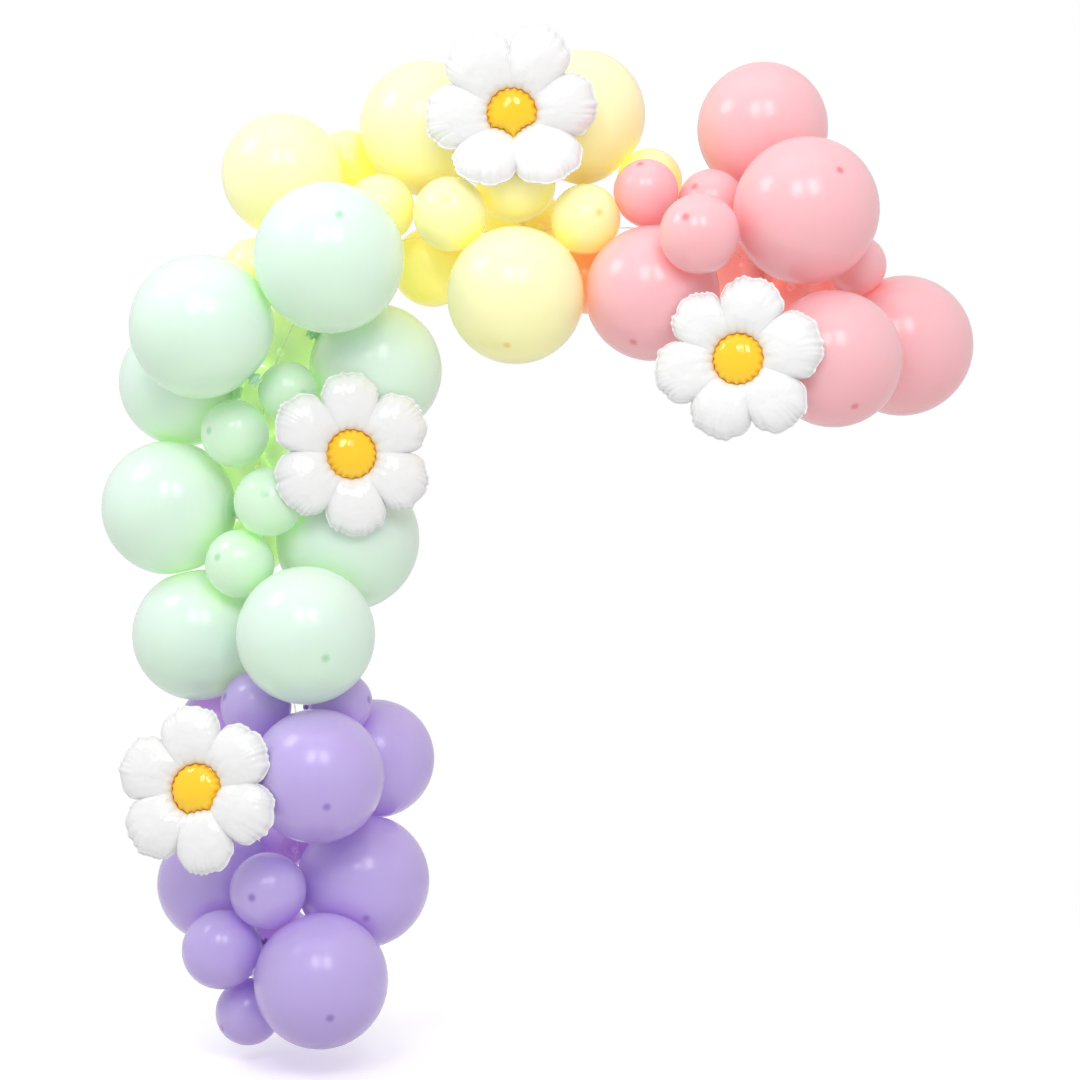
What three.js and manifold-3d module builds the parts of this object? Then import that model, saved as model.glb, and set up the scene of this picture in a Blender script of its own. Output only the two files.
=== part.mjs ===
// Half arch of pastel latex balloons with four foil daisies, made to be fixed to a wall.
// Millimetres, +Z up. The wall is the plane y = 0, the room lies towards -Y and +X runs right along it.
// The origin is the middle of the flat spot where the topmost large yellow balloon rests on the wall.

import * as THREE from "three";
import { mergeVertices } from "three/addons/utils/BufferGeometryUtils.js";
import Module from "manifold-3d";

const CONTACT_GAP = 0.3; // left between two pieces that press on each other
const SAME_PLACE = 1e-4; // corners closer than this are one
const LARGE_DIAMETER = 180; // a balloon wider than this counts as a large one

// The clear strip that the balloons are tied to: a thin band on edge, its width square to the wall.
const STRIP_WIDTH = 12;
const STRIP_THICKNESS = 1.2;
const STRIP_OFF_WALL = 150;
const STRIP_STEPS = 34;
const STRIP_HOLES = 400; // evenly along the strip
const STRIP_COLOUR = 0xe4e8ea;
const STRIP_ROUGHNESS = 0.2;

// The neck of a balloon: it tapers from the body to the tied knot, and the rolled lip ends it.
const TIE_REACH = 1.3; // centre to the strip's hole, in radii, where a balloon can choose its hole
const LONGEST_REACH = 1.55; // centre to the lip, in radii
const SHORTEST_REACH = 1.16;
const REACH_STEP = 2;
const KNOT_CLEAR = 18; // lip to the strip's centre line
const WALL_CLEAR = 6; // lip to the wall
const TAPER_START = 85; // degrees from the crown
const TAPER_POWER = 3.4;
const NECK_SHARE = 0.075; // radii of the neck and the knot, in balloon radii
const KNOT_SHARE = 0.11;
const KNOT_LENGTH = 0.17; // neck to lip, in balloon radii
const KNOT_WIDEST = 0.4; // where the knot is widest, from the lip, as a share of that length

const LARGE_SIDES = 12;
const SMALL_SIDES = 9;
const LARGE_RINGS = [24, 48, 72, 96, 122, 150]; // degrees from the crown
const SMALL_RINGS = [34, 68, 102, 138];
const LATEX_ROUGHNESS = 0.42;

// The foil daisies: six puffed petals welded round a puffed middle, one envelope.
const PETALS = 6;
const NOTCH_SHARE = 0.705; // how far in the outline goes between two petals, in daisy radii
const TIP_POWER = 0.4; // the lower, the broader the tips of the petals
const MIDDLE_RADIUS = 42;
const PETAL_PUFF = 27; // half the thickness of a petal
const MIDDLE_PUFF = 22;
const SEAM_HALF = 1.2;
const VALLEY_SHARE = 0.55; // puff left between two petals
const SWELL_POWER = 0.7; // the lower, the fuller the petals
// Rings of the flat disc of radius 1 that is pushed out to the outline. The weld round the middle is one.
const WELD_SHARE = 0.3;
const FRONT_RINGS = [0.17, WELD_SHARE, 0.5, 0.78];
const BACK_RINGS = [WELD_SHARE, 0.62];
const DAISY_SIDES = PETALS * 5;
const DAISY_GAP = 2.5;
const BEND_RADIUS = 70; // of the bend below the middle where the lower petals fold forward
const BEND_START = 15; // below the middle of the daisy
const FOIL_COLOUR = 0xf6f5f2;
const FOIL_ROUGHNESS = 0.3;

const COLOURS = { lavender: 0xb9a0e0, mint: 0xd3efdf, yellow: 0xfbf6b4, pink: 0xf3b3bb };

// Each balloon: diameter, then its middle across, up and off the wall. Where the crown's dark spot shows,
// its offset from the middle follows, across and up in radii: the neck lies opposite it.
const BALLOONS = {
  lavender: [
    [222, -164, -1451, 282, [0.18, -0.4]],
    [112, -297, -1523, 194],
    [131, -335, -1406, 248, [-0.97, -0.06]],
    [127, -255, -1305, 262, [-0.36, -0.01]],
    [228, -106, -1308, 150, [0.12, -0.4]],
    [204, -362, -1315, 126],
    [222, -170, -1111, 286, [0.19, -0.4]],
    [207, -90, -1103, 95],
    [121, -285, -1003, 190],
    [104, -139, -998, 184],
    [120, -374, -1040, 75],
    [118, -238, -1234, 80],
    [140, -267, -1433, 71],
  ],
  mint: [
    [229, -189, -878, 286, [0.38, -0.28]],
    [227, -392, -884, 133],
    [117, -309, -760, 214, [-0.52, 0.19]],
    [250, -136, -718, 122],
    [232, -442, -664, 136],
    [116, -258, -656, 235, [-0.03, 0.26]],
    [115, -318, -539, 207, [-0.66, 0.04]],
    [102, -228, -468, 207],
    [222, -424, -445, 102],
    [238, -360, -368, 292, [-0.7, 0.68]],
    [228, -85, -426, 141],
    [247, -148, -256, 313, [0.17, 0.48]],
    [134, -240, -368, 70],
    [134, -292, -480, 70],
    [120, -308, -611, 78],
    [106, -297, -725, 82],
    [104, -238, -574, 85],
  ],
  yellow: [
    [206, -244, -92, 163],
    [118, -288, -261, 167],
    [115, -143, -52, 56],
    [229, 0, 0, 106],
    [223, 271, 22, 109],
    [116, -73, -154, 184],
    [125, 48, -171, 232, [-0.07, 0.21]],
    [136, 158, -112, 197],
    [118, 276, -178, 221],
    [140, 9, -240, 85],
    [230, 158, -310, 246, [-0.08, -0.84]],
    [115, 390, -94, 105],
    [118, 283, -267, 116],
    [140, 167, -159, 71],
  ],
  pink: [
    [110, 378, -132, 221, [-0.21, 0.75]],
    [115, 489, -150, 211, [-0.55, 0.37]],
    [130, 457, -224, 360, [-0.33, 0.3]],
    [225, 584, -8, 139],
    [241, 639, -175, 292, [0.34, 0.4]],
    [227, 388, -305, 235, [-0.31, -0.78]],
    [127, 560, -253, 78],
    [105, 742, -248, 160],
    [225, 686, -421, 289, [0.15, -0.71]],
    [244, 830, -381, 112],
    [136, 663, -300, 71],
  ],
};

// The strip's route through the gaps between the balloons, from the foot: across and up.
const STRIP_ROUTE = [
  [-241, -1496], [-237, -1401], [-229, -1315], [-217, -1220], [-213, -1108], [-225, -1004], [-248, -858],
  [-277, -728], [-284, -633], [-284, -530], [-256, -412], [-194, -297], [-129, -240], [-68, -212],
  [-1, -195], [165, -186], [282, -181], [382, -183], [475, -204], [553, -233], [642, -287], [713, -316],
];

// Each daisy: middle across and up, radius, then in degrees how far its face turns right, up and round and
// how far its lower petals fold forward over the balloons that push them out.
const DAISIES = [
  { name: "daisy_foot", across: -357, up: -1124, radius: 139, turn: -9, lift: 10, spin: -20, fold: 0 },
  { name: "daisy_side", across: -116, up: -577, radius: 139, turn: 14, lift: 0, spin: 32, fold: 0 },
  { name: "daisy_top", across: 152, up: -9, radius: 149, turn: 0, lift: -12, spin: 5, fold: 42 },
  { name: "daisy_end", across: 519, up: -428, radius: 139, turn: -16, lift: 0, spin: 13, fold: 0 },
];

const wasm = await Module();
wasm.setup();

const degrees = THREE.MathUtils.degToRad;
const atPlace = ([across, up], off) => new THREE.Vector3(across, -off, up);

const stripCurve = new THREE.CatmullRomCurve3(STRIP_ROUTE.map((place) => atPlace(place, STRIP_OFF_WALL)));
const stripPoints = stripCurve.getSpacedPoints(STRIP_HOLES);
const stripDistance = (point) => Math.min(...stripPoints.map((hole) => hole.distanceTo(point)));

// A geometry with only its positions, shared ones merged.
function closed(geometry) {
  geometry.deleteAttribute("normal");
  geometry.deleteAttribute("uv");
  return mergeVertices(geometry, SAME_PLACE);
}

// The direction from the neck to the crown: away from the hole that lies about one reach from the middle.
function crownDirection(centre, radius, spot) {
  if (spot) {
    const [across, up] = spot;
    return new THREE.Vector3(across, -Math.sqrt(Math.max(0, 1 - across ** 2 - up ** 2)), up).normalize();
  }
  const miss = (hole) => Math.abs(hole.distanceTo(centre) - TIE_REACH * radius);
  const tie = stripPoints.reduce((best, hole) => (miss(hole) < miss(best) ? hole : best));
  return centre.clone().sub(tie).normalize();
}

// How far the lip lies from the middle: as far as the strip leaves room for the knot.
function lipReach(centre, radius, crown) {
  let reach = SHORTEST_REACH * radius;
  const roomFor = (length) => {
    const tip = centre.clone().addScaledVector(crown, -length);
    return tip.y < -WALL_CLEAR && stripDistance(tip) > KNOT_CLEAR;
  };
  while (reach < LONGEST_REACH * radius && roomFor(reach + REACH_STEP)) reach += REACH_STEP;
  return reach;
}

function listBalloons() {
  const balloons = [];
  for (const [colour, rows] of Object.entries(BALLOONS)) {
    const count = { large: 0, small: 0 };
    for (const [diameter, across, up, off, spot] of rows) {
      const size = diameter > LARGE_DIAMETER ? "large" : "small";
      count[size] += 1;
      const centre = atPlace([across, up], off);
      const radius = diameter / 2;
      const crown = crownDirection(centre, radius, spot);
      const reach = lipReach(centre, radius, crown);
      const name = `${colour}_${size}_${count[size]}`;
      balloons.push({ name, colour, size, centre, radius, crown, reach });
    }
  }
  return balloons;
}

// Where two balloons press on each other they share a flat: the plane that their spheres meet in.
function contactPlanes(balloon, balloons) {
  const planes = [];
  for (const other of balloons) {
    const across = other.centre.clone().sub(balloon.centre);
    const distance = across.length();
    if (other === balloon || distance > balloon.reach + other.reach) continue;
    const depth = (distance ** 2 + balloon.radius ** 2 - other.radius ** 2) / (2 * distance);
    planes.push({ normal: across.divideScalar(distance), depth: depth - CONTACT_GAP / 2 });
  }
  return planes;
}

// Half the outline of a free balloon, from the lip at the bottom of the axis to the crown at its top.
function balloonProfile({ radius, reach, size }) {
  const neck = reach - KNOT_LENGTH * radius;
  const outline = [
    new THREE.Vector2(0, -reach),
    new THREE.Vector2(KNOT_SHARE * radius, -reach + KNOT_LENGTH * KNOT_WIDEST * radius),
    new THREE.Vector2(NECK_SHARE * radius, -neck),
  ];
  const rings = size === "large" ? LARGE_RINGS : SMALL_RINGS;
  for (const ring of [...rings].reverse()) {
    const taper = Math.max(0, (ring - TAPER_START) / (180 - TAPER_START));
    const out = radius + (neck - radius) * taper ** TAPER_POWER;
    outline.push(new THREE.Vector2(out * Math.sin(degrees(ring)), out * Math.cos(degrees(ring))));
  }
  outline.push(new THREE.Vector2(0, radius));
  return outline;
}

// A balloon about its own middle, pressed flat by its neighbours.
function balloonGeometry(balloon, balloons) {
  const sides = balloon.size === "large" ? LARGE_SIDES : SMALL_SIDES;
  const geometry = closed(new THREE.LatheGeometry(balloonProfile(balloon), sides));
  const turn = new THREE.Quaternion().setFromUnitVectors(new THREE.Vector3(0, 1, 0), balloon.crown);
  const planes = contactPlanes(balloon, balloons);
  const position = geometry.attributes.position;
  const vertex = new THREE.Vector3();
  for (let i = 0; i < position.count; i += 1) {
    vertex.fromBufferAttribute(position, i).applyQuaternion(turn);
    for (const { normal, depth } of planes) {
      const reached = vertex.dot(normal);
      if (reached > depth) vertex.multiplyScalar(depth / reached);
    }
    position.setXYZ(i, vertex.x, vertex.y, vertex.z);
  }
  return geometry;
}

function solidOf(geometry) {
  const { position } = geometry.attributes;
  const triVerts = new Uint32Array(geometry.index.array);
  return new wasm.Manifold(new wasm.Mesh({ numProp: 3, vertProperties: position.array, triVerts }));
}

// The flat spot of a balloon that rests on the wall: everything behind the wall's face is cut away.
function cutAtWall(geometry, { centre, radius }) {
  const wall = new THREE.BoxGeometry(4 * radius, 2 * radius, 4 * radius);
  wall.translate(0, radius - centre.y, 0);
  const cut = solidOf(geometry).subtract(solidOf(closed(wall))).getMesh();
  const result = new THREE.BufferGeometry();
  result.setAttribute("position", new THREE.BufferAttribute(cut.vertProperties, 3));
  return result.setIndex(new THREE.BufferAttribute(cut.triVerts, 1));
}

function balloonMesh(balloon, balloons) {
  const free = balloonGeometry(balloon, balloons);
  const geometry = -balloon.centre.y < balloon.radius ? cutAtWall(free, balloon) : free;
  const color = COLOURS[balloon.colour];
  const material = new THREE.MeshStandardMaterial({ color, roughness: LATEX_ROUGHNESS });
  const mesh = new THREE.Mesh(geometry, material);
  mesh.name = balloon.name;
  mesh.position.copy(balloon.centre);
  return mesh;
}

// A daisy in its own plane, facing +Y of the lathe: rings of a disc pushed out to the petals' outline.
function daisyGeometry(radius) {
  const back = [0, ...BACK_RINGS].map((share) => new THREE.Vector2(share, share - 1));
  const front = [...FRONT_RINGS].reverse().map((share) => new THREE.Vector2(share, 1 - share));
  const profile = [...back, new THREE.Vector2(1, 0), ...front, new THREE.Vector2(0, 1)];
  const geometry = closed(new THREE.LatheGeometry(profile, DAISY_SIDES));
  const notch = NOTCH_SHARE * radius;
  const position = geometry.attributes.position;
  const vertex = new THREE.Vector3();
  for (let i = 0; i < position.count; i += 1) {
    vertex.fromBufferAttribute(position, i);
    const share = Math.hypot(vertex.x, vertex.z);
    const angle = Math.atan2(vertex.x, vertex.z);
    const lobe = Math.abs(Math.cos((angle * PETALS) / 2)); // 1 along a petal, 0 between two
    const along = Math.max(0, (share - WELD_SHARE) / (1 - WELD_SHARE));
    const outline = notch + (radius - notch) * lobe ** TIP_POWER;
    const inMiddle = share <= WELD_SHARE;
    const onPetal = MIDDLE_RADIUS + along * (outline - MIDDLE_RADIUS);
    const out = inMiddle ? (MIDDLE_RADIUS * share) / WELD_SHARE : onPetal;
    const dome = MIDDLE_PUFF * Math.sqrt(Math.max(0, 1 - (share / WELD_SHARE) ** 2));
    const swell = Math.max(0, Math.sin(Math.PI * along)) ** SWELL_POWER;
    const puff = PETAL_PUFF * (VALLEY_SHARE + (1 - VALLEY_SHARE) * lobe) * swell;
    const half = SEAM_HALF + (inMiddle ? dome : puff);
    const side = Math.abs(vertex.y) < SAME_PLACE ? 0 : Math.sign(vertex.y);
    position.setXYZ(i, out * Math.sin(angle), side * half, out * Math.cos(angle));
  }
  return geometry;
}

// Turns a daisy upright in the wall's plane, one petal at its spin, and folds its lower petals forward.
function standDaisy(geometry, { spin, fold }) {
  geometry.rotateX(Math.PI).rotateY(degrees(-spin - 90));
  const position = geometry.attributes.position;
  for (let i = 0; i < position.count; i += 1) {
    const below = -BEND_START - position.getZ(i);
    if (below <= 0) continue;
    const forward = -position.getY(i);
    const bend = Math.min(below / BEND_RADIUS, degrees(fold));
    const straight = below - bend * BEND_RADIUS;
    const [sine, cosine] = [Math.sin(bend), Math.cos(bend)];
    const down = (BEND_RADIUS - forward) * sine + straight * cosine;
    const out = BEND_RADIUS - (BEND_RADIUS - forward) * cosine + straight * sine;
    position.setY(i, -out);
    position.setZ(i, -BEND_START - down);
  }
  return geometry;
}

// A daisy turned to face the room, then moved off the wall until it only just clears every balloon.
function daisyMesh(daisy, balloons) {
  const material = new THREE.MeshStandardMaterial({ color: FOIL_COLOUR, roughness: FOIL_ROUGHNESS });
  const mesh = new THREE.Mesh(standDaisy(daisyGeometry(daisy.radius), daisy), material);
  mesh.name = daisy.name;
  mesh.rotation.set(degrees(-daisy.lift), 0, degrees(daisy.turn), "ZXY");
  mesh.position.copy(atPlace([daisy.across, daisy.up], 0));
  mesh.updateMatrix();
  const vertex = new THREE.Vector3();
  let off = 0;
  for (let i = 0; i < mesh.geometry.attributes.position.count; i += 1) {
    vertex.fromBufferAttribute(mesh.geometry.attributes.position, i).applyMatrix4(mesh.matrix);
    for (const { centre, radius } of balloons) {
      const away = Math.hypot(vertex.x - centre.x, vertex.z - centre.z);
      const bulge = radius + DAISY_GAP;
      if (away < bulge) off = Math.max(off, vertex.y - centre.y + Math.sqrt(bulge ** 2 - away ** 2));
    }
  }
  mesh.position.y = -off;
  return mesh;
}

function stripMesh() {
  const section = new THREE.Shape();
  section.moveTo(-STRIP_WIDTH / 2, -STRIP_THICKNESS / 2);
  section.lineTo(STRIP_WIDTH / 2, -STRIP_THICKNESS / 2);
  section.lineTo(STRIP_WIDTH / 2, STRIP_THICKNESS / 2);
  section.lineTo(-STRIP_WIDTH / 2, STRIP_THICKNESS / 2);
  const along = { steps: STRIP_STEPS, extrudePath: stripCurve };
  const geometry = closed(new THREE.ExtrudeGeometry(section, along));
  const material = new THREE.MeshStandardMaterial({ color: STRIP_COLOUR, roughness: STRIP_ROUGHNESS });
  const mesh = new THREE.Mesh(geometry, material);
  mesh.name = "tying_strip";
  return mesh;
}

const arch = new THREE.Group();
const balloons = listBalloons();
arch.add(stripMesh());
for (const balloon of balloons) arch.add(balloonMesh(balloon, balloons));
for (const daisy of DAISIES) arch.add(daisyMesh(daisy, balloons));

export default arch;
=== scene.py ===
import math

import bmesh
import bpy
import numpy as np
from mathutils import Euler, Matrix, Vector


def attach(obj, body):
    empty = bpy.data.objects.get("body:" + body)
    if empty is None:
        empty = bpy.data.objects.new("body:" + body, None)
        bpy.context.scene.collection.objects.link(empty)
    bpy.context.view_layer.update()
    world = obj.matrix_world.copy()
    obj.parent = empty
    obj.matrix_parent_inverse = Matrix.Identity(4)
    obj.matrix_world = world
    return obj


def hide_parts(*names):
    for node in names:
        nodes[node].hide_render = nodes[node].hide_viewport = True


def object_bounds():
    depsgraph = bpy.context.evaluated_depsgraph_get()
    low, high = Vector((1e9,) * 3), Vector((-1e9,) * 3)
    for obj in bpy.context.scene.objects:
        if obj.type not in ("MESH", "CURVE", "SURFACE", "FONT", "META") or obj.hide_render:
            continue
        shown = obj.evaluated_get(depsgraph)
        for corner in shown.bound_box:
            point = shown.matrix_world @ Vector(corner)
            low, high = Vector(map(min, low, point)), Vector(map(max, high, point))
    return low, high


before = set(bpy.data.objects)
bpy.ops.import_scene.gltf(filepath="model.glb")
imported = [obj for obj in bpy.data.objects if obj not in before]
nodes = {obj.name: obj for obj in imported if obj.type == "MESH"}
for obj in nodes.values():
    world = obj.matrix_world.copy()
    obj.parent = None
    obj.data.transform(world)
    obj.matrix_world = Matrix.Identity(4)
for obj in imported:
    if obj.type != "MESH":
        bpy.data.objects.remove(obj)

cad_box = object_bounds()


# The view: a level camera square to the wall, at standing distance.
# The frame is 1.836 m wide where the middle of the balloons' depth lies.
VIEW_MIDDLE = Vector((0.199, 0.0, -0.72))
VIEW_DISTANCE = 3.6
FRAME_WIDTH = 1.836
FRAME_DEPTH = 0.2
SENSOR = 36.0

lens = bpy.data.cameras.new("view")
lens.sensor_width = SENSOR
lens.lens = SENSOR * (VIEW_DISTANCE - FRAME_DEPTH) / FRAME_WIDTH
view = bpy.data.objects.new("view", lens)
view.location = VIEW_MIDDLE + Vector((0, -VIEW_DISTANCE, 0))
view.rotation_euler = (math.radians(90), 0, 0)
bpy.context.scene.collection.objects.link(view)
bpy.context.scene.camera = view
bpy.context.scene.view_settings.view_transform = "Standard"


# The studio: a white surround, a pale floor that fades into it, and soft light from above.
# Two panes over the camera and a window high on the left leave the highlights that each balloon carries.
WHITE = (1, 1, 1, 1)
FLOOR_DROP = 0.03
FLOOR_RADIUS = 2.4
FLOOR_SIDES = 96
FLOOR_FADE = (0.5, 2.0)
FLOOR_PALE = (0.97, 0.97, 0.97, 1)
FLOOR_ROUGHNESS = 0.9
FLOOR_GLOW = 0.22

# How bright the surround is, by how far up it lies: -1 is straight below and 1 straight above.
SURROUND_LEVELS = {"From Min": -0.9, "From Max": 0.5, "To Min": 0.8, "To Max": 0.75}

# Each light: its place, its width and height, and its watts.
LIGHTS = {
    "ceiling": ((0.1, -1.0, 2.4), 3.0, 1.6, 9),
    "window": ((-1.9, -0.75, 1.35), 0.9, 0.9, 14),
    "left_pane": ((-0.45, -3.1, 1.25), 0.8, 1.3, 22),
    "right_pane": ((0.85, -3.1, 1.25), 0.8, 1.3, 22),
}

surround = bpy.data.worlds.new("white_surround")
surround.use_nodes = True
backdrop_tree = surround.node_tree
backdrop = backdrop_tree.nodes["Background"]
seen = backdrop_tree.nodes.new("ShaderNodeBackground")
ray = backdrop_tree.nodes.new("ShaderNodeLightPath")
choice = backdrop_tree.nodes.new("ShaderNodeMixShader")
heading = backdrop_tree.nodes.new("ShaderNodeTexCoord")
upward = backdrop_tree.nodes.new("ShaderNodeSeparateXYZ")
level = backdrop_tree.nodes.new("ShaderNodeMapRange")
for name, value in SURROUND_LEVELS.items():
    level.inputs[name].default_value = value
for background in (backdrop, seen):
    background.inputs["Color"].default_value = WHITE
backdrop_tree.links.new(heading.outputs["Generated"], upward.inputs[0])
backdrop_tree.links.new(upward.outputs["Z"], level.inputs["Value"])
backdrop_tree.links.new(level.outputs["Result"], backdrop.inputs["Strength"])
backdrop_tree.links.new(ray.outputs["Is Camera Ray"], choice.inputs["Fac"])
backdrop_tree.links.new(backdrop.outputs[0], choice.inputs[1])
backdrop_tree.links.new(seen.outputs[0], choice.inputs[2])
backdrop_tree.links.new(choice.outputs[0], backdrop_tree.nodes["World Output"].inputs["Surface"])
bpy.context.scene.world = surround

for name, (place, width, height, watts) in LIGHTS.items():
    panel = bpy.data.lights.new(name, "AREA")
    panel.shape = "RECTANGLE"
    panel.size = width
    panel.size_y = height
    panel.energy = watts
    lamp = bpy.data.objects.new(name, panel)
    lamp.location = place
    lamp.rotation_euler = (VIEW_MIDDLE - lamp.location).to_track_quat("-Z", "Y").to_euler()
    lamp.visible_camera = False
    bpy.context.scene.collection.objects.link(lamp)

floor_middle = (VIEW_MIDDLE.x, 0, cad_box[0].z - FLOOR_DROP)
floor_mesh = bmesh.new()
bmesh.ops.create_circle(floor_mesh, cap_ends=True, segments=FLOOR_SIDES, radius=FLOOR_RADIUS)
bmesh.ops.translate(floor_mesh, verts=floor_mesh.verts, vec=floor_middle)
floor_data = bpy.data.meshes.new("floor")
floor_mesh.to_mesh(floor_data)
floor_mesh.free()
floor = bpy.data.objects.new("floor", floor_data)
bpy.context.scene.collection.objects.link(floor)
floor_paint = bpy.data.materials.new("floor_paint")
floor_paint.use_nodes = True
floor_tree = floor_paint.node_tree
floor_shader = floor_tree.nodes["Principled BSDF"]
floor_shader.inputs["Base Color"].default_value = FLOOR_PALE
floor_shader.inputs["Roughness"].default_value = FLOOR_ROUGHNESS
floor_shader.inputs["Emission Color"].default_value = WHITE
floor_shader.inputs["Emission Strength"].default_value = FLOOR_GLOW
floor_place = floor_tree.nodes.new("ShaderNodeTexCoord")
from_middle = floor_tree.nodes.new("ShaderNodeVectorMath")
from_middle.operation = "DISTANCE"
from_middle.inputs[1].default_value = floor_middle
fade = floor_tree.nodes.new("ShaderNodeMapRange")
fade.interpolation_type = "SMOOTHSTEP"
fade.inputs["From Min"].default_value = FLOOR_FADE[1]
fade.inputs["From Max"].default_value = FLOOR_FADE[0]
floor_tree.links.new(floor_place.outputs["Object"], from_middle.inputs[0])
floor_tree.links.new(from_middle.outputs["Value"], fade.inputs["Value"])
floor_tree.links.new(fade.outputs["Result"], floor_shader.inputs["Alpha"])
floor_data.materials.append(floor_paint)
floor.visible_diffuse = False


# Latex balloons: thin dipped skins in pastel colours, blown up and tied in a knot, then tied to the strip.
# Where two press on each other the skins flatten against one another, and the crown keeps a darker spot.
# Each skin is turned from half an outline, round the ball of its solid and down to its lip.
LARGE_SIDES, LARGE_RINGS = 64, 46
SMALL_SIDES, SMALL_RINGS = 48, 34
LARGE_RADIUS = 0.09
SKIN_END = math.radians(176)
TAPER_START = math.radians(85)
TAPER_POWER = 3.4
KNOT_LENGTH = 0.17
MERGE_WITHIN = 1e-6

# Finding the ball of a solid: the digits kept, how many fours of corners are tried, how flat a four may be,
# and how near a corner has to lie to count as on the ball.
KEPT_DIGITS = 5
BALL_SEED, BALL_TRIES = 7, 500
LEAST_FOUR, ON_BALL = 1e-6, 2e-4

# Pressing: the gap left between two skins, how softly the flat begins, and how near a ball lies to press.
SKIN_GAP = 0.00015
PRESS_EDGE = 0.05
PRESS_FLOOR = 0.1
NEAR_RADII = 1.5

# The readings on each skin that its colour and glow follow.
NECK_START, NECK_FULL = math.radians(150), math.radians(173)
NOOK_WIDTH, NOOK_POWER = 0.034, 1.6
COVER_START, COVER_FULL = 0.15, 0.55
COVER_LARGE = 0.12
ROOM_SIDE = 0.55
UNDER_START = 0.15
# Hidden balloons near the wall get painted shade, part of it in the open and the rest where other balloons
# close round them; small balloons are richer in their own colour.
BEHIND = 0.2
BEHIND_SHADE, OPEN_SHADE = 0.9, 0.15
SMALL_TONE = {"lavender": 0.0, "mint": 0.26, "yellow": 0.16, "pink": 0.04}

# How far each reading takes the pale colour to the rich one, as painted shade in the nooks and underneath
# and as random cloud, and the spot and neck to the deep one.
NOOK_SHADE, UNDER_SHADE, CLOUD_RICH = 0.6, 0.25, 0.16
SPOT_EDGE, SPOT_DEEP = (0.002, 0.0105), 0.6
NECK_DEEP = 0.7
SATIN, SATIN_CLOUD, SATIN_NECK = 0.22, 0.1, 0.14
# Painted glow, as if light came through the thin skins: in the nooks, in small and hidden balloons and
# underneath.
NOOK_GLOW, TONE_GLOW, UNDER_GLOW = 0.3, 0.3, 0.18
SKIN_GLOW = 0.45
SCATTER, SCATTER_DEPTH = 0.45, 0.05
SKIN_CLOUD = (14.0, 3.0)
POWDER = (900.0, 2.0)
POWDER_BUMP = {"Strength": 0.04, "Distance": 0.0006}
NOISE_MIDDLE = 0.5
BLACK = (0, 0, 0, 1)

# From the neck to the lip, as shares of the radius: out from the axis, and on from the neck.
KNOT_OUTLINE = [
    (0.056, 0.022), (0.066, 0.034), (0.098, 0.050), (0.108, 0.070), (0.094, 0.092),
    (0.058, 0.108), (0.050, 0.120), (0.062, 0.138), (0.086, 0.152), (0.096, 0.160), (0.092, 0.168),
    (0.074, 0.166), (0.000, 0.150),
]

# Each colour: pale, rich (its own colour in small balloons and its painted shade elsewhere), deep, and the
# painted glow as if lit through other skins, then how far red, green and blue light spreads.
LATEX_COLOURS = {
    "lavender": ((195, 177, 232), (172, 132, 210), (122, 78, 180), (190, 132, 202), (0.7, 0.5, 1.0)),
    "mint": ((222, 241, 229), (188, 234, 164), (138, 205, 158), (238, 242, 160), (0.6, 1.0, 0.6)),
    "yellow": ((255, 252, 200), (254, 240, 112), (226, 196, 90), (205, 186, 92), (1.0, 0.9, 0.3)),
    "pink": ((244, 190, 196), (238, 152, 150), (214, 86, 94), (255, 158, 132), (1.0, 0.45, 0.4)),
    "peach": ((255, 222, 176), (246, 150, 96), (226, 120, 80), (250, 150, 84), (1.0, 0.6, 0.3)),
}

# The small balloon that only shows between the lowest yellow one and the pink one beside it: painted peach,
# a pink skin with the yellow light of its neighbours painted in.
PEACH = "yellow_small_9"


def linear(colour):
    """A colour as mixed on a palette, 0 to 255, for the shaders."""
    parts = [value / 255 for value in colour]
    return tuple(p / 12.92 if p < 0.04045 else ((p + 0.055) / 1.055) ** 2.4 for p in parts) + (1.0,)


class Tint:
    """A shader value that adds, subtracts and multiplies like a number."""

    def __init__(self, tree, socket):
        self.tree = tree
        self.socket = socket

    def node(self, kind, settings=None, sockets=None, output=0):
        """Any other node: its settings first, then the values or links of its sockets."""
        made = self.tree.nodes.new(kind)
        for name, value in (settings or {}).items():
            setattr(made, name, value)
        for name, value in (sockets or {}).items():
            if isinstance(value, Tint):
                self.tree.links.new(value.socket, made.inputs[name])
            else:
                made.inputs[name].default_value = value
        return Tint(self.tree, made.outputs[output])

    def sum_of(self, operation, first, second):
        return self.node("ShaderNodeMath", {"operation": operation}, {0: first, 1: second})

    def __add__(self, other):
        return self.sum_of("ADD", self, other)

    def __sub__(self, other):
        return self.sum_of("SUBTRACT", self, other)

    def __rsub__(self, other):
        return self.sum_of("SUBTRACT", other, self)

    def __mul__(self, other):
        return self.sum_of("MULTIPLY", self, other)

    __radd__ = __add__
    __rmul__ = __mul__

    def rise(self, low, high):
        """0 below low, 1 above high and smooth between."""
        span = {"Value": self, "From Min": low, "From Max": high}
        return self.node("ShaderNodeMapRange", {"interpolation_type": "SMOOTHSTEP"}, span)

    def between(self, first, second):
        """The first colour where this is 0 and the second where it is 1."""
        factor_and_colours = {0: self, 6: first, 7: second}
        return self.node("ShaderNodeMix", {"data_type": "RGBA"}, factor_and_colours, output=2)


def finish_of(name):
    """A new material with its shader, and a starting point for its node maths."""
    material = bpy.data.materials.new(name)
    material.use_nodes = True
    tree = material.node_tree
    shader = tree.nodes["Principled BSDF"]
    return material, shader, Tint(tree, tree.nodes.new("ShaderNodeTexCoord").outputs["Object"])


def feed(start, shader, name, value):
    start.tree.links.new(value.socket, shader.inputs[name])


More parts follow.
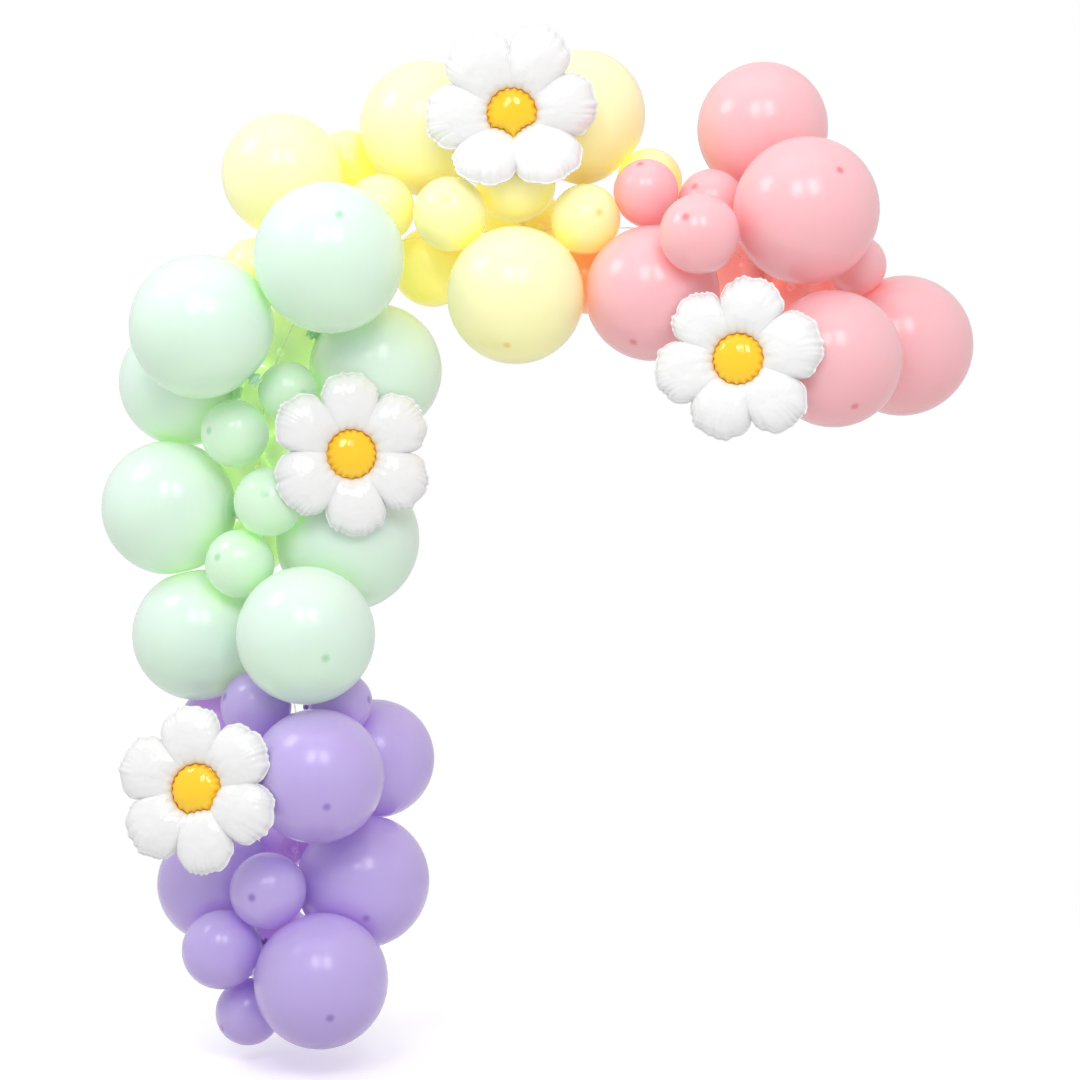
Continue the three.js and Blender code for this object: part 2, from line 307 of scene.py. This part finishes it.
def set_all(shader, constants):
    for name, value in constants.items():
        shader.inputs[name].default_value = value


def reading_of(place, name):
    """One of the numbers kept on each vertex, as the node's factor output gives it."""
    return place.node("ShaderNodeAttribute", {"attribute_name": name}, output=2)


def noise(place, scale, detail):
    return place.node("ShaderNodeTexNoise", None, {"Vector": place, "Scale": scale, "Detail": detail})


def latex_finish(name, pale, rich, deep, through, spread):
    """Satin latex: pale on the body, with painted shade making it richer in the nooks between balloons,
    underneath and in hidden balloons, deep at the crown and neck, and with a painted glow as if lit through
    the skins.
    """
    material, shader, place = finish_of(name)
    from_crown = reading_of(place, "from_crown")
    neck = reading_of(place, "neck")
    nook = reading_of(place, "nook")
    tone_and_shade = reading_of(place, "tone_and_shade")
    under = reading_of(place, "under")
    enclosed = reading_of(place, "enclosed")
    cloud = noise(place, *SKIN_CLOUD) - NOISE_MIDDLE
    spot = 1 - from_crown.rise(*SPOT_EDGE)
    # Painted shade: the nooks, the underside and hidden balloons turn towards the rich colour; small
    # balloons are richer in their own colour, and the cloud varies it at random.
    body = (nook * NOOK_SHADE + tone_and_shade + under * UNDER_SHADE + cloud * CLOUD_RICH).between(pale, rich)
    marked = (spot * SPOT_DEEP).between(body, deep)
    feed(place, shader, "Base Color", (neck * NECK_DEEP).between(marked, deep))
    feed(place, shader, "Roughness", SATIN + cloud * SATIN_CLOUD + neck * SATIN_NECK)
    soft = tuple((light + full) / 2 for light, full in zip(pale, rich))
    # Painted glow, as if light came through the skins: in the nooks, in small and hidden balloons and
    # underneath, and the colour lit through other skins where a place faces several of them.
    edge_glow = (nook * NOOK_GLOW + tone_and_shade * TONE_GLOW + under * UNDER_GLOW).between(BLACK, soft)
    feed(place, shader, "Emission Color", enclosed.between(edge_glow, through))
    powder = noise(place, *POWDER)
    feed(place, shader, "Normal", place.node("ShaderNodeBump", None, {"Height": powder, **POWDER_BUMP}))
    set_all(shader, {
        "Emission Strength": SKIN_GLOW,
        "Subsurface Weight": SCATTER,
        "Subsurface Radius": spread,
        "Subsurface Scale": SCATTER_DEPTH,
    })
    return material


LATEX = {
    colour: latex_finish(colour + "_latex", *map(linear, paints), spread)
    for colour, (*paints, spread) in LATEX_COLOURS.items()
}


def corners_of(node):
    """The places of a solid's vertices, each of them once."""
    return np.unique(np.round([vertex.co for vertex in node.data.vertices], KEPT_DIGITS), axis=0)


def blown_ball(node):
    """The ball that a balloon's free skin lies on, and the point where its lip ends."""
    places = corners_of(node)
    chance = np.random.default_rng(BALL_SEED)
    most, ball = 0, None
    for _ in range(BALL_TRIES):
        four = places[chance.choice(len(places), 4, replace=False)]
        across = 2 * (four[1:] - four[0])
        if abs(np.linalg.det(across)) < LEAST_FOUR:
            continue
        middle = np.linalg.solve(across, (four[1:] ** 2).sum(1) - (four[0] ** 2).sum())
        radius = np.linalg.norm(four[0] - middle)
        held = (np.abs(np.linalg.norm(places - middle, axis=1) - radius) < ON_BALL).sum()
        if held > most:
            most, ball = held, (middle, radius)
    middle, radius = ball
    lip = places[np.linalg.norm(places - middle, axis=1).argmax()]
    return {"middle": middle, "radius": radius, "lip": lip}


balls = {name: blown_ball(node) for name, node in nodes.items() if name.split("_")[0] in LATEX}


def skin_outline(radius, reach, rings):
    """Half a free balloon, out from its axis and along it, from the crown to the lip."""
    neck = reach - KNOT_LENGTH * radius
    outline = []
    for step in range(rings + 1):
        angle = SKIN_END * step / rings
        taper = max(0.0, (angle - TAPER_START) / (math.pi - TAPER_START))
        out = radius + (neck - radius) * taper ** TAPER_POWER
        outline.append((out * math.sin(angle), out * math.cos(angle)))
    outline[0] = (0.0, radius)
    return outline + [(out * radius, -neck - on * radius) for out, on in KNOT_OUTLINE]


def spun(outline, sides):
    """A closed mesh turned from half an outline about its axis."""
    mesh = bmesh.new()
    verts = [mesh.verts.new((out, 0.0, along)) for out, along in outline]
    edges = [mesh.edges.new(pair) for pair in zip(verts, verts[1:])]
    bmesh.ops.spin(
        mesh, geom=verts + edges, axis=(0, 0, 1), cent=(0, 0, 0), angle=math.tau, steps=sides, use_merge=True
    )
    bmesh.ops.remove_doubles(mesh, verts=mesh.verts, dist=MERGE_WITHIN)
    bmesh.ops.recalc_face_normals(mesh, faces=mesh.faces)
    return mesh


def kept_object(mesh, name, material):
    """A finished bmesh as a smooth object at the origin."""
    for face in mesh.faces:
        face.smooth = True
    data = bpy.data.meshes.new(name)
    mesh.to_mesh(data)
    mesh.free()
    data.materials.append(material)
    piece = bpy.data.objects.new(name, data)
    bpy.context.scene.collection.objects.link(piece)
    return piece


def pressed(places, ball, neighbours):
    """Places on a balloon about its middle, flattened where a neighbour's skin meets them."""
    for other in neighbours:
        away = other["middle"] - ball["middle"]
        distance = np.linalg.norm(away)
        depth = (distance ** 2 + ball["radius"] ** 2 - other["radius"] ** 2) / (2 * distance) - SKIN_GAP
        share = places @ (away / distance) / depth
        eased = share - np.clip(share - 1 + PRESS_EDGE, 0, 2 * PRESS_EDGE) ** 2 / (4 * PRESS_EDGE)
        flat = np.where(share > 1 + PRESS_EDGE, 1.0, eased)
        kept = np.where(share > 1 - PRESS_EDGE, flat / np.maximum(share, PRESS_FLOOR), 1.0)
        places = places * kept[:, None]
    return places


def nook_share(places, neighbours):
    """How close each place lies to the nearest other balloon: 1 where they touch, 0 in the open."""
    gaps = [np.linalg.norm(places - other["middle"], axis=1) - other["radius"] for other in neighbours]
    nearest = np.min(gaps, axis=0) if gaps else np.full(len(places), 1.0)
    return np.clip(1 - nearest / NOOK_WIDTH, 0, 1) ** NOOK_POWER


def enclosed_share(places, outward, others):
    """How much each place faces several balloons at once, whose thin skins let light through to it."""
    cover, largest = np.zeros(len(places)), np.zeros(len(places))
    for other in others:
        away = other["middle"] - places
        distance = np.linalg.norm(away, axis=1)
        facing = np.clip((outward * away).sum(1) / distance, 0, 1) * (other["radius"] / distance) ** 2
        cover += facing
        largest = np.maximum(largest, facing)
    return np.clip((cover - largest - COVER_START) / (COVER_FULL - COVER_START), 0, 1)


def add_reading(piece, name, values):
    reading = piece.data.attributes.new(name, "FLOAT", "POINT")
    reading.data.foreach_set("value", np.asarray(values, np.float32))


for name, ball in balls.items():
    run_colour = name.split("_")[0]
    large = ball["radius"] > LARGE_RADIUS
    stem = ball["middle"] - ball["lip"]
    reach = np.linalg.norm(stem)
    outline = skin_outline(ball["radius"], reach, LARGE_RINGS if large else SMALL_RINGS)
    skin = spun(outline, LARGE_SIDES if large else SMALL_SIDES)
    balloon = kept_object(skin, name + "_skin", LATEX["peach" if name == PEACH else run_colour])
    places = np.array([vertex.co for vertex in balloon.data.vertices])
    round_from_crown = np.arctan2(np.hypot(places[:, 0], places[:, 1]), places[:, 2])
    turn = Vector((0, 0, 1)).rotation_difference(Vector(stem)).to_matrix()
    others = [other for other in balls.values() if other is not ball]
    neighbours = [
        other for other in others
        if np.linalg.norm(other["middle"] - ball["middle"]) < reach + NEAR_RADII * other["radius"]
    ]
    places = pressed(places @ np.array(turn).T, ball, neighbours)
    outward = places / np.linalg.norm(places, axis=1)[:, None]
    places = places + ball["middle"]
    places[:, 1] = np.minimum(places[:, 1], 0.0)
    balloon.data.vertices.foreach_set("co", places.astype(np.float32).ravel())
    enclosed = enclosed_share(places, outward, others)
    behind = max(0.0, 1 + ball["middle"][1] / BEHIND)
    to_room = np.clip(ROOM_SIDE - outward[:, 1], 0, 1)
    # Small balloons are richer in their own colour; hidden ones near the wall get painted shade, most where
    # others close round them.
    tone_and_shade = SMALL_TONE[run_colour] + BEHIND_SHADE * behind * (OPEN_SHADE + (1 - OPEN_SHADE) * enclosed)
    add_reading(balloon, "from_crown", round_from_crown * ball["radius"])
    add_reading(balloon, "neck", np.clip((round_from_crown - NECK_START) / (NECK_FULL - NECK_START), 0, 1))
    # The nook and underside readings carry painted shade and painted glow; the enclosed one carries a
    # painted glow lit through other skins.
    add_reading(balloon, "nook", nook_share(places, neighbours))
    add_reading(balloon, "enclosed", enclosed * to_room * (COVER_LARGE if large else behind))
    add_reading(balloon, "under", np.clip(UNDER_START - outward[:, 2], 0, 1))
    add_reading(balloon, "tone_and_shade", tone_and_shade * (not large))
    balloon.data.update()
    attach(balloon, "root")
    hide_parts(name)
    run_colour + "_latex"


# Foil daisies: two sheets of white coated foil, welded round the rim and the yellow middle, then blown up.
# The puffed petals pull the welded rim into small crimps, and each daisy is stuck to the balloons behind it.
# Each is a turned flat disc, blown out by its place on the petals, stood up and pressed on those balloons.
PETALS = 6
DAISY_SIDES = 336
DAISY_RINGS, MIDDLE_RINGS = 44, 14
FIRST_SEED = 3
MIDDLE_RADIUS, MIDDLE_PUFF = 0.041, 0.021
PETAL_PUFF = 0.028
NOTCH_SHARE, TIP_POWER = 0.675, 0.43
SEAM_HALF, SEAM_WIDTH = 0.0006, 0.0035
SEAM_MIDDLE = 1e-5
WELD_SHARE = 0.3
PRINT_PAST = 0.004
BEND_RADIUS, BEND_START = 0.07, 0.015
REST_GAP = 0.0005

# How the petals differ: their sway round the middle, their length and their plumpness.
SWAY, SECOND_SWAY = 0.045, 0.04
LENGTH_SPREAD, PLUMP_SPREAD = (-0.04, 0.02), (-0.14, 0.04)

# The waves round a daisy, with how many go round it and how deep each one is.
CRIMPS, CRIMP_WANDER, CRIMP_BEATS = 71, (3.2, 9), (0.6, 0.4, 13)
SLACK, SECOND_SLACK = 17, (0.8, 29)
PUCKERS, PUCKER_WANDER = 19, (0.9, 3)
CRIMP_DEPTH, SLACK_DEPTH, WAVE_POWER = 0.0017, 0.0014, 0.3
PUCKER_DEPTH, PUCKER_POWER = 0.02, 8
LAP_POWER, LAP_SPREAD = 0.8, 3

# The puff of a petal along and across it, and how the rim and the weld pull at it.
SWELL_POWER = 2.4
ACROSS_LEAST, ACROSS_MORE, ACROSS_POWER = 0.58, 0.42, 0.7
RIM_REACH, RING_REACH = 0.004, 0.0028
RIM_PULL, RING_PULL, DOME_PULL = 0.04, 0.2, 0.06
FLUTTER = 0.0009
VALLEY_POWER, VALLEY_RISE = 4, 2
# The painted shade of the creases: by the rim's crimps, along the weld and in the valleys between petals,
# and how much less where a petal laps the middle.
RIM_CREASE_SHADE, VALLEY_CREASE_SHADE = 0.5, 0.3
LAP_SMOOTHS, LAPPED_CREASE_SHADE = 5, 0.15

# The foil's colours, smooth and with painted shade in the creases, and its gloss.
PETAL_WHITE, PETAL_CREASE_SHADE = (231, 231, 231), (204, 203, 202)
PRINT_YELLOW, PRINT_CREASE_SHADE = (255, 206, 16), (238, 148, 8)
WHITE_CREASE_SHADE, CLOUD_WHITE, CLOUD_YELLOW = 0.45, 0.2, 0.3
PRINT_EDGE = (0.4, 0.6)
GLOSS, GLOSS_MIDDLE, GLOSS_CLOUD = 0.15, 0.05, 0.1
# A faint painted glow on the petals, standing in for fill light.
FOIL_PAINTED_GLOW = 0.06
FOIL_COAT, COAT_GLOSS = 0.4, 0.08
FOIL_CLOUD, FOIL_DENTS = (22.0, 2.0), (30.0, 2.0)
DENT_BUMP = {"Strength": 0.42, "Distance": 0.011}

# Middle across and up and radius, then its turn right, up and round, and how far its lower petals fold.
DAISIES = {
    "daisy_foot": (-0.357, -1.124, 0.139, -9, 10, -20, 0),
    "daisy_side": (-0.116, -0.577, 0.139, 14, 0, 32, 0),
    "daisy_top": (0.152, -0.009, 0.149, 0, -12, 5, 42),
    "daisy_end": (0.519, -0.428, 0.139, -16, 0, 13, 0),
}

# How far each petal laps over the middle, as a share of its radius.
LAPS = {
    "daisy_foot": (0.17, 0, 0, 0, 0, 0.15),
    "daisy_side": (0, 0, 0, 0, 0, 0),
    "daisy_top": (0, 0, 0, 0, 0.25, 0.25),
    "daisy_end": (0, 0, 0, 0, 0, 0),
}


def foil_finish():
    """White coated foil, glossy in the middle's yellow print and pearly on the petals, with painted shade in
    its creases and a faint painted glow on the petals.
    """
    material, shader, place = finish_of("white_foil")
    middle = reading_of(place, "middle")
    crease_shade = reading_of(place, "crease_shade")
    cloud = noise(place, *FOIL_CLOUD) - NOISE_MIDDLE
    dents = noise(place, *FOIL_DENTS)
    printed = middle.rise(*PRINT_EDGE)
    # Painted shade in the creases darkens the white petals and the yellow print.
    white = (crease_shade * WHITE_CREASE_SHADE + cloud * CLOUD_WHITE).between(linear(PETAL_WHITE), linear(PETAL_CREASE_SHADE))
    yellow = (crease_shade + cloud * CLOUD_YELLOW).between(linear(PRINT_YELLOW), linear(PRINT_CREASE_SHADE))
    feed(place, shader, "Base Color", printed.between(white, yellow))
    feed(place, shader, "Roughness", GLOSS - middle * GLOSS_MIDDLE + cloud * GLOSS_CLOUD)
    feed(place, shader, "Normal", place.node("ShaderNodeBump", None, {"Height": dents, **DENT_BUMP}))
    # Painted glow: the petals glow faintly white, the print not at all.
    feed(place, shader, "Emission Color", printed.between(white, BLACK))
    set_all(shader, {"Emission Strength": FOIL_PAINTED_GLOW, "Coat Weight": FOIL_COAT, "Coat Roughness": COAT_GLOSS})
    return material


WHITE_FOIL = foil_finish()


def daisy_outline():
    """Half a flat disc of unit radius, front and back, closest rings near the welds."""
    shares = [WELD_SHARE * step / MIDDLE_RINGS for step in range(MIDDLE_RINGS + 1)]
    shares += [
        WELD_SHARE + (1 - WELD_SHARE) * (0.5 - 0.5 * math.cos(math.pi * step / DAISY_RINGS))
        for step in range(1, DAISY_RINGS)
    ]
    front = [(share, 1 - share) for share in shares]
    return front + [(1.0, 0.0)] + [(share, share - 1) for share in reversed(shares)]


def foil_waves(angle, phase):
    """The waves round a daisy, each about -1 to 1: crimps of the rim, its slack, and puckers of the weld."""
    wander, times = CRIMP_WANDER
    crimps = np.sin(angle * CRIMPS + phase[2] + wander * np.sin(angle * times + phase[3]))
    least, more, beats = CRIMP_BEATS
    crimps = crimps * (least + more * np.sin(angle * beats + phase[3]))
    share, second = SECOND_SLACK
    slack = np.sin(angle * SLACK + phase[6]) + share * np.sin(angle * second + phase[7])
    wander, times = PUCKER_WANDER
    pucker = np.sin(angle * PUCKERS + phase[4] + wander * np.sin(angle * times + phase[5]))
    return crimps, slack, pucker


def blown_foil(share, angle, side, radius, laps, seed):
    """A place on the blown foil, in the daisy's frame, with how much painted shade its creases get there."""
    chance = np.random.default_rng(seed)
    phase = chance.uniform(0, math.tau, 8)
    sway = angle + SWAY * np.sin(angle + phase[0]) + SECOND_SWAY * np.sin(2 * angle + phase[1])
    petal = np.round(sway / (math.tau / PETALS)).astype(int) % PETALS
    lobe = np.abs(np.cos(sway * PETALS / 2))
    length = 1 + chance.uniform(*LENGTH_SPREAD, PETALS)[petal]
    plump = 1 + chance.uniform(*PLUMP_SPREAD, PETALS)[petal] * lobe
    crimps, slack, pucker = foil_waves(angle, phase)

    # How far out the place lies: on the middle up to the weld, then on the petal up to the rim.
    notch = NOTCH_SHARE * radius
    edge = notch + (radius * length - notch) * lobe ** TIP_POWER
    edge = edge + (CRIMP_DEPTH * crimps + SLACK_DEPTH * slack) * lobe ** WAVE_POWER
    lap = np.array(laps)[petal] * lobe ** LAP_POWER
    weld = MIDDLE_RADIUS * (1 + PUCKER_DEPTH * pucker - lap)
    on = np.clip((share - WELD_SHARE) / (1 - WELD_SHARE), 0, 1)
    inner = share <= WELD_SHARE
    reached = share / WELD_SHARE
    on_middle = MIDDLE_RADIUS * (
        reached + PUCKER_DEPTH * pucker * reached ** PUCKER_POWER - lap * reached ** LAP_SPREAD
    )
    out = np.where(inner, on_middle, weld + on * (edge - weld))

    # How far it puffs to the front or the back.
    to_edge = np.maximum(edge - out, 0)
    to_weld = np.abs(out - weld)
    inward = np.clip((to_edge - SEAM_WIDTH) / (edge - weld - SEAM_WIDTH), 0, 1)
    swell = np.sqrt(np.clip(1 - np.abs(2 * inward - 1) ** SWELL_POWER, 0, 1))
    across = ACROSS_LEAST + ACROSS_MORE * lobe ** ACROSS_POWER
    rim = np.exp(-((to_edge - SEAM_WIDTH) / RIM_REACH).clip(0))
    ring = np.exp(-to_weld / RING_REACH)
    petal_half = PETAL_PUFF * plump * across * swell * (1 + RIM_PULL * crimps * rim)
    petal_half = petal_half * (1 - RING_PULL * np.clip(pucker, 0, 1) * ring)
    petal_half = np.where(to_edge < SEAM_WIDTH, 0.0, petal_half)
    dome = MIDDLE_PUFF * np.sqrt(np.clip(1 - reached ** 2, 0, 1)) * (1 + DOME_PULL * pucker * ring)
    loose = 1 - to_edge / (2 * SEAM_WIDTH)
    flutter = np.where(to_edge < 2 * SEAM_WIDTH, FLUTTER * crimps * loose, 0.0)
    height = side * (np.where(inner, dome, petal_half) + SEAM_HALF) + flutter

    # How much painted shade its creases get: by the rim, by the weld and between two petals.
    valley = (1 - lobe) ** VALLEY_POWER * np.clip(on * VALLEY_RISE, 0, 1)
    weld_crease_shade = ring * (0.5 - 0.5 * pucker) * np.clip(1 - LAP_SMOOTHS * lap, LAPPED_CREASE_SHADE, 1)
    crease_shade = RIM_CREASE_SHADE * rim * np.clip(-crimps, 0, 1) + weld_crease_shade + VALLEY_CREASE_SHADE * valley
    return np.stack([out * np.cos(angle), out * np.sin(angle), height], 1), np.clip(crease_shade, 0, 1)


def daisy_stood(blown, daisy, node):
    """Places of a flat daisy folded, turned to the room and moved off the wall to where its solid lies."""
    across, up, _, turn, lift, spin, fold = daisy
    turn, lift, spin, fold = (math.radians(angle) for angle in (turn, lift, spin, fold))
    right = blown[:, 0] * math.cos(spin) - blown[:, 1] * math.sin(spin)
    height = blown[:, 0] * math.sin(spin) + blown[:, 1] * math.cos(spin)
    below = np.maximum(-BEND_START - height, 0)
    bend = np.minimum(below / BEND_RADIUS, fold)
    straight = below - bend * BEND_RADIUS
    arm = BEND_RADIUS - blown[:, 2]
    forward = BEND_RADIUS - arm * np.cos(bend) + straight * np.sin(bend)
    height = np.maximum(height, -BEND_START) - arm * np.sin(bend) - straight * np.cos(bend)
    tilt = np.array(Euler((-lift, 0, turn), "YXZ").to_matrix())
    places = np.stack([right, -forward, height], 1) @ tilt.T + (across, 0, up)
    places[:, 1] += min(vertex.co.y for vertex in node.data.vertices) - places[:, 1].min()
    return places


def resting(places, side):
    """Places of a daisy pressed flat on the balloons behind it, the front sheet over the back one."""
    for ball in balls.values():
        away = places - ball["middle"]
        distance = np.linalg.norm(away, axis=1)
        least = ball["radius"] + REST_GAP + SEAM_HALF * (1 + side)
        places = ball["middle"] + away * np.maximum(least / distance, 1)[:, None]
    return places


for seed, (name, daisy_place) in enumerate(DAISIES.items(), FIRST_SEED):
    daisy = kept_object(spun(daisy_outline(), DAISY_SIDES), name + "_foil", WHITE_FOIL)
    places = np.array([vertex.co for vertex in daisy.data.vertices])
    share = np.hypot(places[:, 0], places[:, 1])
    angle = np.arctan2(places[:, 1], places[:, 0])
    side = np.where(np.abs(places[:, 2]) < SEAM_MIDDLE, 0.0, np.sign(places[:, 2]))
    blown, crease_shade = blown_foil(share, angle, side, daisy_place[2], LAPS[name], seed)
    stood = resting(daisy_stood(blown, daisy_place, nodes[name]), side)
    daisy.data.vertices.foreach_set("co", stood.astype(np.float32).ravel())
    add_reading(daisy, "middle", (share < WELD_SHARE + PRINT_PAST) & (side > 0))
    add_reading(daisy, "crease_shade", crease_shade)
    daisy.data.update()
    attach(daisy, "root")
    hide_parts(name)


# The tying strip: a thin clear plastic band on edge, with punched holes that the necks are tied through.
# It follows the middle line of the solid strip, and shows only in a few gaps between the balloons.
BAND_WIDTH, BAND_THICKNESS = 0.0104, 0.0012
HOLE_PITCH, HOLE_RADIUS = 0.02, 0.0028
HOLE_CORNERS = 16
BAND_MERGE = 1e-5
CLEAR_PALE, CLEAR_GREY = (250, 252, 253), (236, 240, 243)
CLEAR_CLOUD = (60.0, 2.0)
CLEAR_ROUGHNESS, CLEAR_UNEVEN = 0.1, 0.12
CLEAR_LOOK = {"Transmission Weight": 0.3, "Alpha": 0.35, "IOR": 1.46}


def strip_line(node):
    """The strip's middle line, from its foot: each step's corners on the room side, joined nearest first."""
    places = corners_of(node)
    depth = (places[:, 1].max() + places[:, 1].min()) / 2
    left = [place for place in places if place[1] < depth]
    here = min(left, key=lambda place: place[2])
    line = []
    while left:
        step = sorted(left, key=lambda place: np.linalg.norm(place - here))[:2]
        here = sum(step) / len(step)
        line.append((here[0], depth, here[2]))
        left = [place for place in left if not any(place is used for used in step)]
    return np.array(line)


def band_cell(corners):
    """One pitch of the flat band with its hole: along and across, the hole's corners and the outer ones."""
    cell = []
    for corner in range(corners):
        angle = math.tau * corner / corners
        along, across = math.cos(angle), math.sin(angle)
        square = 1 / max(abs(along), abs(across))
        cell.append((HOLE_RADIUS * along, HOLE_RADIUS * across))
        cell.append((HOLE_PITCH / 2 * along * square, BAND_WIDTH / 2 * across * square))
    return cell


line = strip_line(nodes["tying_strip"])
run = np.concatenate([[0], np.cumsum(np.linalg.norm(np.diff(line, axis=0), axis=1))])
pitches = int(run[-1] / HOLE_PITCH)
stretch = run[-1] / (pitches * HOLE_PITCH)
band = bmesh.new()
cell = band_cell(HOLE_CORNERS)
for pitch in range(pitches):
    verts = []
    for along, across in cell:
        at = ((pitch + 0.5) * HOLE_PITCH + along) * stretch
        verts.append(band.verts.new((
            np.interp(at, run, line[:, 0]), line[0, 1] + across, np.interp(at, run, line[:, 2])
        )))
    for corner in range(HOLE_CORNERS):
        inner, outer = verts[2 * corner:2 * corner + 2]
        next_inner, next_outer = (verts + verts)[2 * corner + 2:2 * corner + 4]
        band.faces.new((inner, outer, next_outer, next_inner))
bmesh.ops.remove_doubles(band, verts=band.verts, dist=BAND_MERGE)
bmesh.ops.recalc_face_normals(band, faces=band.faces)
bmesh.ops.solidify(band, geom=band.faces[:], thickness=BAND_THICKNESS)
clear, shader, place = finish_of("clear_strip")
cloud = noise(place, *CLEAR_CLOUD)
feed(place, shader, "Base Color", cloud.between(linear(CLEAR_PALE), linear(CLEAR_GREY)))
feed(place, shader, "Roughness", CLEAR_ROUGHNESS + cloud * CLEAR_UNEVEN)
set_all(shader, CLEAR_LOOK)
strip = kept_object(band, "tying_strip_band", clear)
for polygon in strip.data.polygons:
    polygon.use_smooth = False
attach(strip, "root")
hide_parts("tying_strip")
